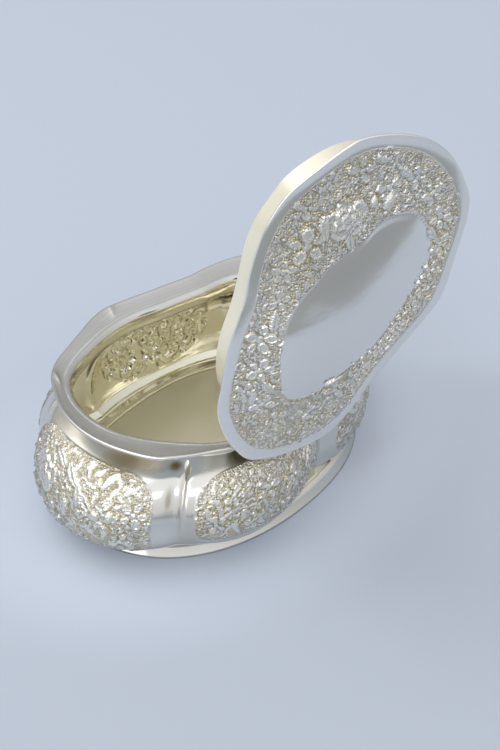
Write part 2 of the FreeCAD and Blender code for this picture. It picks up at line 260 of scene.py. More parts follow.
bodyShape = {
    "sheet": 1.0,
    "totalHeight": 43.8,
    "lipRise": 1.8,
    "neckHeight": 3.6,
    "bellyHeight": 16.0,
    "footHeight": 3.4,
    "floorHeight": 4.0,
    "footHalfLength": 54.4,
    "footHalfWidth": 38.1,
    "footRoundness": 2.2,
    "floorFlange": 5.0,
    "swellSide": 2.0,
    "swellEnd": 6.5,
    "panelBulges": (3.0, 3.0, 3.0, 3.0, 5.0, 3.0),
    "fluteSharpness": 0.8,
    "cornerAngles": (32, 109, 147, 208, 285, 334),
    "rim": ((0, 58.9), (15, 56.2), (27, 53.0), (32, 50.4), (40, 45.2), (50, 39.8), (62, 37.2), (75, 36.4),
            (88, 37.6), (100, 40.0), (109, 40.9), (120, 42.2), (131, 45.2), (140, 49.2), (147, 51.9),
            (156, 54.0), (167, 56.8), (180, 58.9), (193, 59.4), (203, 59.1), (208, 57.3), (213, 55.4), (219, 53.4),
            (229, 50.9), (240, 46.4), (251, 41.4), (263, 37.2), (275, 34.4), (287, 34.4), (300, 36.2),
            (312, 38.8), (322, 42.4), (331, 47.6), (340, 51.6), (350, 55.6)),
    "neck": ((0, 50.5), (28, 42.2), (45, 33.5), (72, 29.2), (97, 31.6), (125, 37.3), (152, 47.5),
             (180, 51.0), (205, 48.2), (227, 45.5), (250, 36.0), (275, 29.4), (300, 31.0), (325, 39.0),
             (345, 47.5)),
    # grid columns as (number, first angle and last angle of the dense stretch, share of the columns in it)
    "outerColumns": (640, 128, 292, 0.75),
    "outerRows": 134,
    "innerColumns": (640, 35, 165, 0.66),
    "innerRows": 118,
    "fluteMargin": 7.0,
    # folds across the lip, as (angle at the edge, angle at the neck, height)
    "lipFolds": ((96.5, 103.0, 0.7), (146.0, 154.0, 0.9), (206.0, 205.0, 0.25)),
    # spots of painted shade below the lip, in the pit at the flute and as dark reflections along the flute, as (angle,
    # height, half width, half height, how dark)
    "shadeSpots": ((206.6, 35.6, 1.9, 0.8, 1.0), (206.3, 29.0, 0.9, 2.6, 0.55), (210.6, 33.5, 0.35, 2.4, 0.6),
               (232.0, 35.8, 5.0, 1.3, 0.8), (189.0, 35.3, 7.0, 1.7, 0.70), (212.0, 14.0, 4.5, 9.0, 0.30),
               (164.0, 17.5, 1.0, 1.0, 0.6)),
    "leastRadius": 34.0,
    "fluteWidth": 7.0,
    "outerCorner": 6.0,
    "innerCorner": 11.0,
    "panelTops": (34.5, 34.5, 33.6, 34.2, 34.5, 34.5),
    "panelBottoms": (8.0, 8.0, 6.0, 13.0, 6.0, 6.0),
    "reliefShares": (0.8, 0.45, 0.8, 0.8, 0.8, 0.8),
    # leaves and buds between the flowers: tries, heights, then sizes and how full a spot may be outside and inside
    "sprays": 6500,
    "sprayHeights": (6, 35),
    "spraySeed": 11,
    "sprayFill": ((1.2, 2.4), 0.26),
    "innerFill": ((3.0, 5.2), 0.22),
    # how the wall comes in above the foot, as (height, step), and how much of it each panel takes
    "tuck": ((0.0, 1.4), (1.0, 0.75), (2.0, 0.2), (3.4, -0.5), (5.0, -3.5), (6.4, -5.0), (8.2, -4.8), (10.5, -3.5),
             (13.0, -2.0), (17.0, -0.9), (22.0, 0.0)),
    "tuckShares": (0.3, 0.3, 0.15, 0.55, 0.3, 0.3),
    "tuckFront": (212.0, 13.0),
    "bouquets": (sideBouquet, cornerBouquet, endBouquet, sideBouquet, cornerBouquet, endBouquet),
    "extraFlowers": (("bud", 191.5, 23.0, 2.2, 80, 2.0), ("leaf", 163.0, 16.5, 4.0, 60, 1.2),
                     ("leaf", 171.0, 31.5, 4.0, 160, 1.3), ("leaf", 181.5, 26.5, 4.2, 110, 1.3)),
}

def rimRadius(angle):
    return stationCurve(bodyShape["rim"], angle)


def neckRadius(angle):
    return stationCurve(bodyShape["neck"], angle)


def softRim(angle, reach):
    return sum(rimRadius(angle + step * reach) for step in (-1, -0.5, 0, 0.5, 1)) / 5


def footRadius(angle):
    power = bodyShape["footRoundness"]
    turn = np.radians(angle)
    length = np.abs(np.cos(turn)) / bodyShape["footHalfLength"]
    width = np.abs(np.sin(turn)) / bodyShape["footHalfWidth"]
    return (length ** power + width ** power) ** (-1 / power)


def panelSpans():
    # the angle where each panel starts, and how many degrees it takes
    corners = np.array(bodyShape["cornerAngles"])
    return corners, (np.roll(corners, -1) - corners) % 360


def panelArch(angle):
    # how far each panel stands out, 0 in the flutes
    angle = np.asarray(angle, float) % 360
    bulge = np.zeros_like(angle)
    for start, span, most in zip(*panelSpans(), bodyShape["panelBulges"]):
        along = (angle - start) % 360
        arch = np.abs(np.sin(np.pi * np.clip(along / span, 0, 1))) ** bodyShape["fluteSharpness"]
        bulge = np.where(along < span, most * arch, bulge)
    return bulge


def bellyRadius(angle):
    lengthwise = np.cos(np.radians(angle)) ** 2
    swell = bodyShape["swellSide"] + (bodyShape["swellEnd"] - bodyShape["swellSide"]) * lengthwise
    return softRim(angle, 18) + swell + panelArch(angle)


def wallSections():
    # heights, and shares of the foot, belly and neck outlines
    shape = bodyShape
    neckBottom = shape["totalHeight"] - shape["lipRise"] - shape["sheet"] - shape["neckHeight"]
    rise = neckBottom - shape["bellyHeight"]
    drop = shape["bellyHeight"] - shape["footHeight"]
    foot = shape["footHeight"]
    belly = shape["bellyHeight"]
    return [
        (foot, (1.0, 0.0, 0.0)), (foot + 0.18 * drop, (0.50, 0.50, 0.0)), (foot + 0.50 * drop, (0.14, 0.86, 0.0)),
        (belly, (0.0, 1.0, 0.0)), (belly + 0.33 * rise, (0.0, 0.95, 0.05)), (belly + 0.60 * rise, (0.0, 0.78, 0.22)),
        (belly + 0.80 * rise, (0.0, 0.50, 0.50)), (belly + 0.93 * rise, (0.0, 0.17, 0.83)),
        (neckBottom, (0.0, 0.0, 1.0)),
    ]


def curveRows(control, count):
    # rows evenly spaced along a smooth curve through control rows of (radius, height) by column
    control = np.asarray(control)
    steps = len(control) - 1
    t = np.linspace(0, steps, steps * 24 + 1)
    index = np.clip(t.astype(int), 0, steps - 1)
    share = (t - index)[:, None, None]
    slope = np.zeros_like(control)
    slope[1:-1] = (control[2:] - control[:-2]) / 2
    slope[0] = control[1] - control[0]
    slope[-1] = control[-1] - control[-2]
    fine = hermite(share, control[index], control[index + 1], slope[index], slope[index + 1])
    step = np.hypot(*np.diff(fine.mean(2), axis=0).T)
    length = np.concatenate([[0], np.cumsum(step)])
    wanted = np.linspace(0, length[-1], count)
    place = np.interp(wanted, length, np.arange(len(t)))
    low = np.clip(place.astype(int), 0, len(t) - 2)
    part = (place - low)[:, None, None]
    return fine[low] * (1 - part) + fine[low + 1] * part, wanted


def columnAngles(count, start, end, share):
    # most columns go where the camera looks, from start to end in degrees
    dense = round(count * share)
    return np.concatenate([np.linspace(start, end, dense, endpoint=False),
                           np.linspace(end, start + 360, count - dense, endpoint=False)])


def bodyFlowers():
    # the same bouquets as on the solid, as (kind, angle, height, size, turn, rise)
    stamps = []
    for start, span, bouquet in zip(*panelSpans(), bodyShape["bouquets"]):
        for kind, place, rise, size in bouquet:
            angle = start + span / 2 + place * (span / 2 - bodyShape["fluteMargin"])
            level = bodyShape["bellyHeight"] + rise
            stamps.append((kind, angle, level, size, flowerTurn * len(stamps), 0.5 + 0.25 * size))
    return stamps + list(bodyShape["extraFlowers"])


def fluteDistance(angles):
    # degrees from the nearest flute, and the number of the panel
    corners = np.array(bodyShape["cornerAngles"])
    away = turnFrom(angles[:, None], corners[None])
    return np.abs(away).min(1), np.searchsorted(corners, angles % 360, side="right") - 1


def tuckAt(angles, height):
    # the foot flares a little, and the wall above it comes in, most of all in the flutes
    steps = np.array(bodyShape["tuck"])
    corners, span = panelSpans()
    middles = corners + span / 2
    share = np.interp(angles % 360, middles, bodyShape["tuckShares"], period=360)
    middle, width = bodyShape["tuckFront"]
    front = np.exp(-(turnFrom(angles, middle) / width) ** 2)
    share = share + (1 - share) * front
    step = np.interp(height, steps[:, 0], steps[:, 1])
    return step * (1 + (share - 1) * smoothStep(bodyShape["footHeight"], 7.0, height))


def bodyWall(angles, rowCount, corner, fromInside):
    # the outside of the wall as a grid, with its relief and the masks that the material needs
    shape = bodyShape
    outlines = []
    for height, (foot, belly, neck) in wallSections():
        radius = foot * footRadius(angles) + belly * bellyRadius(angles) + neck * neckRadius(angles)
        outlines.append((radius, np.full_like(angles, height)))
    wall, length = curveRows(outlines, rowCount)
    radius, height = wall[:, 0], wall[:, 1]
    radius = radius + tuckAt(angles, height)
    x, y = polar(radius, angles)
    base = np.stack([x, y, height], 2)
    normals = gridNormals(base)

    corners, span = panelSpans()
    away, panel = fluteDistance(angles)
    fromFlute = np.radians(away)[None] * radius
    bottoms = np.array(shape["panelBottoms"])[panel]
    along = ((angles - corners[panel]) % 360) / span[panel]
    arch = np.sin(np.pi * along) ** 0.5
    widening = 0.85 + 0.35 * smoothStep(28, 36, height) + 0.45 * smoothStep(15, 5, height)
    flute = (shape["fluteWidth"] + 2.0 * fromInside) * widening
    top = np.array(shape["panelTops"])[panel][None] - 1.5 + 2.5 * arch[None]
    bottom = bottoms[None] + 2.0 - 2.0 * arch[None]
    aside, ahead = fromFlute - flute, np.minimum((top - height) * 1.6, height - bottom)
    rounded = corner - np.hypot(corner - aside, corner - ahead)
    depthIn = np.where((aside < corner) & (ahead < corner), rounded, np.minimum(aside, ahead))
    inside = smoothStep(0, 0.9, depthIn)

    relief = np.zeros_like(radius)
    levels = height.mean(1)

    def windowAt(angle, level, reach):
        place = np.interp(level, levels, length)
        rows = np.nonzero(np.abs(length - place) < reach)[0]
        turn = np.radians(turnFrom(angles, angle))
        columns = np.nonzero(np.abs(turn) * shape["leastRadius"] < reach)[0]
        if len(rows) == 0 or len(columns) == 0:
            rows, columns = np.array([0]), np.array([0])
        window = np.ix_(rows, columns)
        across = turn[columns][None] * radius[window]
        up = np.broadcast_to((length[rows] - place)[:, None], across.shape)
        return window, across, up

    layRelief(relief, windowAt, bodyFlowers())
    relief = relief * np.array(shape["reliefShares"])[panel] * inside * (0.25 + 0.75 * smoothStep(5, 13, height))

    def spots(random):
        for _ in range(shape["sprays"]):
            yield random.uniform(0, 360), random.uniform(*shape["sprayHeights"])

    sizes, fill = shape["innerFill"] if fromInside else shape["sprayFill"]
    laid = sprinkle(relief, windowAt, spots, inside, sizes, fill, shape["spraySeed"])
    print("body: small leaves and buds laid", laid)
    relief = relief * inside
    ground = inside * (1 - smoothStep(0.02, 0.22, relief))
    edge = 0.30 * np.exp(-((inside - 0.5) / 0.3) ** 2) * (np.abs(inside - 0.5) < 0.49)
    # the flute's fold is sharp at the shoulder and dies out below the belly
    fromFront = turnFrom(angles, shape["cornerAngles"][3])
    drift = fromFlute - 2.2 * (np.sign(fromFront) * (np.abs(fromFront) < 20))[None]
    depth = smoothStep(12, 26, height) * smoothStep(37.2, 35, height)
    crease = -0.7 * np.exp(-(drift / 0.8) ** 2) * depth - 0.4 * np.exp(-(fromFlute / 3.4) ** 2) * depth
    warm = np.clip(smoothStep(31, 35.5, height) * (0.35 + 0.65 * smoothStep(2, 9, fromFlute)) + 0.55 * inside, 0, 1)
    # painted shade: darker under the lip on the panels, where the neck lies in shade, and darker again in the spots of
    # painted shade listed above
    paintedShade = 0.30 * smoothStep(33.5, 35.5, height) * smoothStep(6.5, 10.0, fromFlute)
    for angle, level, halfWidth, halfHeight, shadeDepth in shape["shadeSpots"]:
        sideways = np.radians(turnFrom(angles, angle))[None] * radius / halfWidth
        spot = sideways ** 2 + ((height - level) / halfHeight) ** 2
        paintedShade = np.maximum(paintedShade, shadeDepth * np.exp(-spot ** 1.5))
    return {"base": base, "normals": normals, "raised": relief - 0.30 * inside + edge + crease, "inside": inside,
            "ground": ground, "warm": warm, "paintedShade": paintedShade}


def padRows(values, ahead, behind=0, low=0.0, high=0.0):
    # a mask over all the rows, with one value in the rows ahead of its own and one behind them
    columns = values.shape[1]
    return np.concatenate([np.full((ahead, columns), low), values, np.full((behind, columns), high)])


def flatRing(radius, angles, level):
    x, y = polar(radius, angles)
    return np.stack([x, y, np.zeros_like(angles) + level], 1)[None]


def foldAt(angles, share):
    # folds across the lip where its outline turns a corner
    level = np.zeros_like(angles)
    for outer, inner, height in bodyShape["lipFolds"]:
        away = np.abs(angles % 360 - outer - (inner - outer) * share)
        level = level + height * np.exp(-away / 2.4) * math.sin(math.pi * min(share + 0.15, 1.0))
    return level


def makeOuterWall():
    # the raised and chased outside, from the foot to the neck under the lip
    shape = bodyShape
    angles = columnAngles(*shape["outerColumns"])
    wall = bodyWall(angles, shape["outerRows"], shape["outerCorner"], False)
    outside = wall["base"] + wall["normals"] * wall["raised"][..., None]
    foot = footRadius(angles)
    neck = neckRadius(angles)
    lipLow = shape["totalHeight"] - shape["lipRise"] - shape["sheet"]
    below = [flatRing(foot - shape["sheet"], angles, 0.3), flatRing(foot - shape["sheet"] + 0.3, angles, 0.0),
             flatRing(foot + 0.5, angles, 0.0)]
    below += [flatRing(foot + tuckAt(angles, level), angles, level) for level in (0.25, 0.8, 1.4, 2.0, 2.6, 3.1)]
    above = [flatRing(neck, angles, lipLow - share * shape["neckHeight"]) for share in (0.75, 0.5, 0.25, 0.0)]
    above.append(flatRing(neck + 0.1, angles, lipLow + 0.3))
    points = np.concatenate(below + [outside] + above)
    ends = len(below), len(above)
    cavity = blurGrid(wall["raised"], 9) - wall["raised"]
    # the painted shade mask, with the neck rows above the wall as dark as its top row
    paintedShade = padRows(wall["paintedShade"], *ends)
    paintedShade[-len(above):] = wall["paintedShade"][-1]
    piece = meshFromGrid("raised_wall", points, {
        "ground": padRows(wall["ground"], *ends), "cavity": padRows(cavity, *ends), "paintedShade": paintedShade,
        "warm": padRows(wall["warm"], *ends, high=0.8), "chased": padRows(wall["inside"], *ends)})
    print("outer wall: faces", len(piece.data.polygons))
    return piece


def makeLining():
    # the dished lip, the throat and the inside of the wall, where the flowers show as hollows
    shape = bodyShape
    angles = columnAngles(*shape["innerColumns"])
    wall = bodyWall(angles, shape["innerRows"], shape["innerCorner"], True)
    total = shape["totalHeight"]
    lipHeight = total - shape["lipRise"]
    floorTop = shape["floorHeight"] + shape["sheet"]
    rim = rimRadius(angles)
    neck = neckRadius(angles)
    foot = footRadius(angles)
    soft = 1.7 * blurGrid(wall["raised"], 4)
    inner = wall["base"] - wall["normals"] * shape["sheet"] + wall["normals"] * soft[..., None]
    keep = inner[:, :, 2].mean(1) > floorTop + 0.5
    inner = inner[keep][::-1]
    lipUnder = lipHeight - shape["sheet"]
    under = [flatRing(neck + (rim - 0.3 - neck) * share, angles, lipUnder + shape["lipRise"] * share ** 1.3)
             for share in (0.0, 0.12, 0.35, 0.6, 0.85, 0.97)]
    side = [flatRing(rim - 0.1, angles, total - 0.85), flatRing(rim + 0.02, angles, total - 0.55),
            flatRing(rim - 0.05, angles, total - 0.18), flatRing(rim - 0.35, angles, total)]
    top = []
    for share in np.linspace(0, 1, 12):
        level = total - 0.05 - (shape["lipRise"] - 0.45) * share ** 0.75 + foldAt(angles, share)
        top.append(flatRing(rim - 0.8 + (neck + 1.7 - rim + 0.8) * share, angles, level))
    roll = [(1.25, 0.42), (0.75, 0.40), (0.25, 0.22), (-0.15, -0.12), (-0.60, -0.55), (-0.90, -1.1), (-1.0, -2.0),
            (-1.0, -3.2)]
    throat = [flatRing(neck + out, angles, lipHeight + up) for out, up in roll]
    low = foot - shape["sheet"]
    flange = [flatRing(low - 0.2, angles, floorTop + 0.3), flatRing(low - 1.6, angles, floorTop)]
    flange += [flatRing(low - shape["floorFlange"] * share, angles, floorTop) for share in (0.6, 0.97)]
    floorUnder = shape["floorHeight"] + 0.02
    flange += [flatRing(low - shape["floorFlange"], angles, level) for level in (floorTop - 0.2, floorUnder)]
    flange += [flatRing(low - 0.05, angles, floorUnder), flatRing(low, angles, 3.0), flatRing(low, angles, 0.3)]
    head = under + side + top + throat
    points = np.concatenate(head + [inner] + flange)
    across = np.zeros((len(points), len(angles)))
    across[len(under) + len(side):len(under) + len(side) + len(top)] = np.linspace(0.05, 1, len(top))[:, None]
    inside = np.ones((len(points), len(angles)))
    inside[:len(head) - 3] = 0
    inside[len(head) - 3] = 0.5
    cavity = blurGrid(-soft, 8) + soft
    piece = meshFromGrid("lining", points, {
        "cavity": padRows(cavity[keep][::-1], len(head), len(flange)), "inner": inside, "across": across})
    print("lining: faces", len(piece.data.polygons))
    return piece


# The lid: domed plate with a plain border, a band of flowers and a polished cartouche.
lidShape = {
    "ratio": 0.9407,
    "sheet": 1.0,
    "facing": 247.1,
    "lean": -4.5,
    "roll": 25.6,
    "centre": (-10.4, -52.0, 87.0),
    "border": 3.7,
    "seat": 10.5,
    "dome": 2.6,
    "columns": 1060,
    "bandRows": 58,
    "plateRows": (10, 12),
    "backColumns": 240,
    "backRows": 30,
    "sprays": 5200,
    "spraySeed": 5,
    "sprayFill": ((1.2, 2.3), 0.16),
    # flowers as (mm along the lid, mm across it, size in mm), the blossoms in turn round the lid from the rose
    "rose": (-28.0, -14.5, 6.8),
    "blossoms": (
        (-17.6, -22.3, 6.0), (-8.4, -25.2, 3.9), (0.6, -21.8, 3.6), (13.8, -20.8, 5.2), (23.6, -15.4, 4.4),
        (32.0, -16.5, 3.8), (35.0, -8.0, 4.2), (40.0, 0.5, 3.9), (41.5, -8.5, 3.0), (35.5, 10.5, 3.9),
        (27.4, 15.6, 4.2), (19.5, 21.4, 3.4), (11.5, 24.2, 2.9), (3.0, 25.6, 3.0), (-6.5, 26.8, 3.4),
        (-16.0, 26.4, 3.6), (-25.0, 25.0, 3.8), (-33.5, 19.6, 4.3), (-40.0, 12.0, 4.1), (-44.0, 3.6, 3.9),
        (-39.5, -5.0, 4.4), (-46.8, -6.6, 3.2), (-42.4, -16.6, 4.8), (-37.0, -25.2, 3.6), (-28.2, -28.8, 4.2)),
    "extraFlowers": (
        ("bud", -35.6, -3.0, 2.8, 5, 1.6), ("bud", -34.6, -8.0, 2.0, 20, 1.3), ("leaf", -24.0, -20.0, 4.4, 30, 1.5),
        ("leaf", -21.5, -9.5, 3.6, 40, 1.3), ("leaf", 7.0, -19.5, 3.6, 200, 1.2), ("leaf", 29.0, -9.5, 3.4, 60, 1.2),
        ("leaf", 24.0, 12.5, 3.2, 120, 1.2), ("leaf", -28.0, 19.5, 3.2, 60, 1.2), ("leaf", -44.5, -1.5, 3.4, 80, 1.2),
        ("leaf", -47.0, -12.0, 3.4, 100, 1.2), ("leaf", 33.5, -12.5, 3.0, 20, 1.1)),
    "cartouche": ((0, 31.3), (12, 30.2), (22, 27.2), (33, 24.6), (45, 23.3), (60, 23.3), (66, 22.9), (81, 22.5),
                  (95, 22.8), (108, 24.4), (121, 27.6), (130, 30.6), (142, 32.7), (153, 33.9), (164, 34.9),
                  (171, 33.8), (178, 31.9), (185, 29.0), (191, 24.6), (198, 21.3), (206, 20.0), (221, 18.0),
                  (242, 15.6), (265, 15.6), (295, 16.8), (316, 19.3), (329, 21.9), (341, 25.1), (352, 29.2)),
}


def lidAxes():
    facing, lean, roll = (math.radians(lidShape[key]) for key in ("facing", "lean", "roll"))
    normal = Vector((math.cos(facing) * math.cos(lean), math.sin(facing) * math.cos(lean), math.sin(lean)))
    sideways = normal.cross(Vector((0, 0, -1))).normalized()
    down = sideways.cross(normal)
    longAxis = down * math.cos(roll) - sideways * math.sin(roll)
    return np.array(longAxis), np.array(normal.cross(longAxis)), np.array(normal)


def placeLid(points):
    longAxis, shortAxis, normal = lidAxes()
    return (np.array(lidShape["centre"]) + points[..., 0:1] * longAxis + points[..., 1:2] * shortAxis
            + points[..., 2:3] * normal)


def lidFlowers():
    # the rose and blossoms of the solid, then what the photograph adds, as (kind, along, across, size, turn, rise)
    stamps = []
    for along, across, size in (lidShape["rose"],) + lidShape["blossoms"]:
        kind, share = ("blossom", 1.0) if stamps else ("rose", 1.5)
        stamps.append((kind, along, across, size, flowerTurn * len(stamps), share * (0.35 + 0.17 * size)))
    return stamps + list(lidShape["extraFlowers"])


def domeAt(radius, angles):
    # flat over the band that closes the box, domed inside it
    seat = lidShape["ratio"] * softRim(angles, 22) - lidShape["seat"]
    return lidShape["dome"] * np.clip(1 - np.clip(radius / seat, 0, 1) ** 2.4, 0, 1)


def makeLidFace():
    shape = lidShape
    angles = np.arange(shape["columns"]) * 360 / shape["columns"]
    edge = shape["ratio"] * rimRadius(angles)
    border = shape["ratio"] * softRim(angles, 6) - shape["border"]
    plate = stationCurve(shape["cartouche"], angles)
    sheet = shape["sheet"]
    share = np.linspace(0, 1, shape["bandRows"])[:, None]
    band = border[None] * (1 - share) + plate[None] * share
    fine, coarse = shape["plateRows"]
    shares = np.concatenate([1 - 0.013 * np.arange(1, fine + 1), np.linspace(0.86, 0.02, coarse + 1)[1:]])
    inner = plate[None] * shares[:, None]
    radius = np.concatenate([band, inner])
    x, y = polar(radius, angles)
    fromPlate = radius - plate[None]
    fromBorder = border[None] - radius
    inside = smoothStep(0, 0.8, fromPlate) * smoothStep(0, 0.7, fromBorder)
    relief = np.zeros_like(radius)
    bandRows = np.arange(shape["bandRows"] + 8)

    def windowAt(along, across, reach):
        place = math.degrees(math.atan2(across, along))
        spread = math.degrees(reach / max(math.hypot(along, across) - reach, 8.0))
        columns = np.nonzero(np.abs(turnFrom(angles, place)) < spread)[0]
        window = np.ix_(bandRows, columns)
        return window, x[window] - along, y[window] - across

    layRelief(relief, windowAt, lidFlowers())
    relief = relief * smoothStep(0, 0.5, fromBorder)

    def spots(random):
        for _ in range(shape["sprays"]):
            angle = random.uniform(0, 360)
            low = float(stationCurve(shape["cartouche"], angle)) + 0.8
            high = float(shape["ratio"] * softRim(angle, 6)) - shape["border"] - 0.8
            reach = random.uniform(low, max(high, low + 0.5))
            yield reach * math.cos(math.radians(angle)), reach * math.sin(math.radians(angle))

    room = smoothStep(0, 0.3, fromPlate) * smoothStep(0, 0.3, fromBorder)
    laid = sprinkle(relief, windowAt, spots, room, *shape["sprayFill"], shape["spraySeed"])
    print("lid: small leaves and buds laid", laid)
    ground = inside * (1 - smoothStep(0.02, 0.20, relief))
    bead = 0.22 * np.exp(-((fromPlate - 0.4) / 0.40) ** 2) * (0.6 + 0.4 * np.cos(np.radians(angles) * 150)[None])
    raised = relief - 0.30 * inside + bead + 0.15 * smoothStep(0.2, -4.0, fromPlate)
    top = np.stack([x, y, sheet + domeAt(radius, angles) + raised], 2)
    side = [(0.30, 0.0), (0.06, 0.15), (0.0, 0.35), (0.08, 0.56), (0.34, 0.69)]
    outer = [flatRing(edge - back, angles, level) for back, level in side]
    rim = [flatRing(edge - 0.34 - (edge - 0.34 - border) * part, angles, 1.03 - 0.34 * (1 - part) ** 2)
           for part in (0.15, 0.3, 0.5, 0.7, 0.85, 0.96)]
    points = np.concatenate(outer + rim + [top])
    ahead = len(outer) + len(rim)
    cavity = blurGrid(raised, 9) - raised
    cavity[shape["bandRows"] + 3:] = 0
    warm = inside * (0.75 + 0.25 * np.cos(np.radians(angles) * 3)[None])
    piece = meshFromGrid("raised_lid", placeLid(points), {
        "ground": padRows(ground, ahead), "cavity": padRows(cavity, ahead), "warm": padRows(warm, ahead),
        "chased": padRows(inside, ahead)}, capEnds=True)
    print("lid face: faces", len(piece.data.polygons))
    return piece


def makeLidBack():
    shape = lidShape
    angles = np.arange(shape["backColumns"]) * 360 / shape["backColumns"]
    edge = shape["ratio"] * rimRadius(angles)
    rows = []  # rings from the middle out
    for share in np.linspace(0.02, 1, shape["backRows"]):
        radius = (edge - 0.3) * share
        ring = flatRing(radius, angles, 0.0)
        ring[0, :, 2] = domeAt(radius, angles)
        rows.append(ring)
    points = np.concatenate(rows)
    piece = meshFromGrid("lid_back", placeLid(points), {"inner": np.ones(points.shape[:2])}, capEnds=True)
    print("lid back: faces", len(piece.data.polygons))
    return piece


# Materials

def linear(hexColour):
    # sRGB hex to the linear values that the shader takes
    channels = [int(hexColour[i:i + 2], 16) / 255 for i in (1, 3, 5)]
    return tuple(c / 12.92 if c <= 0.04045 else ((c + 0.055) / 1.055) ** 2.4 for c in channels) + (1.0,)


def dimmer(colour, share):
    return tuple(share * c for c in colour[:3]) + (1.0,)


def addNode(tree, kind, settings=None, links=None, values=None):
    # settings are properties, values are socket defaults, and a link comes from a socket or a node's first output
    node = tree.nodes.new("ShaderNode" + kind)
    for key, value in (settings or {}).items():
        setattr(node, key, value)
    for key, value in (values or {}).items():
        node.inputs[key].default_value = value
    for key, source in (links or {}).items():
        socket = source.outputs[0] if isinstance(source, bpy.types.Node) else source
        tree.links.new(socket, node.inputs[key])
    return node


def newMaterial(name):
    material = bpy.data.materials.new(name)
    material.use_nodes = True
    tree = material.node_tree
    tree.nodes.clear()
    output = addNode(tree, "OutputMaterial")
    shader = addNode(tree, "BsdfPrincipled")
    tree.links.new(shader.outputs[0], output.inputs[0])
    return material, tree, shader


# A Mix node of colours has them at sockets 6 and 7, and its result is output 2.
ofColours = {"data_type": "RGBA"}

silverLook = {
    "bodyPolished": "#DBDAD6",
    "bodyTarnish": 0.8,
    "lidPolished": "#F4F3F0",
    "lidTarnish": 0.65,
    "worn": "#F0ECE0",
    "tarnish": "#C3B383",
    # colour of the painted shade under the lip and in the pit at the flute
    "paintedShade": "#85744A",
    "gilt": "#E9E5D3",
    "giltLow": "#CDC198",
    "polishedRoughness": 0.10,
    "reliefRoughness": 0.25,
    "mattedRoughness": 0.36,
    # sizes of the surface's marks in mm
    "mattingSpacing": 0.75,
    "mattingDepth": 0.22,
    "planishingSpacing": 7.0,
    "planishingDepth": 0.12,
    "tarnishPatch": 9.1,
    "smearSize": 18.2,
    "lipWidth": 9.0,
    "wipedSpacing": 0.455,
    "wipedDepth": 0.25,
}


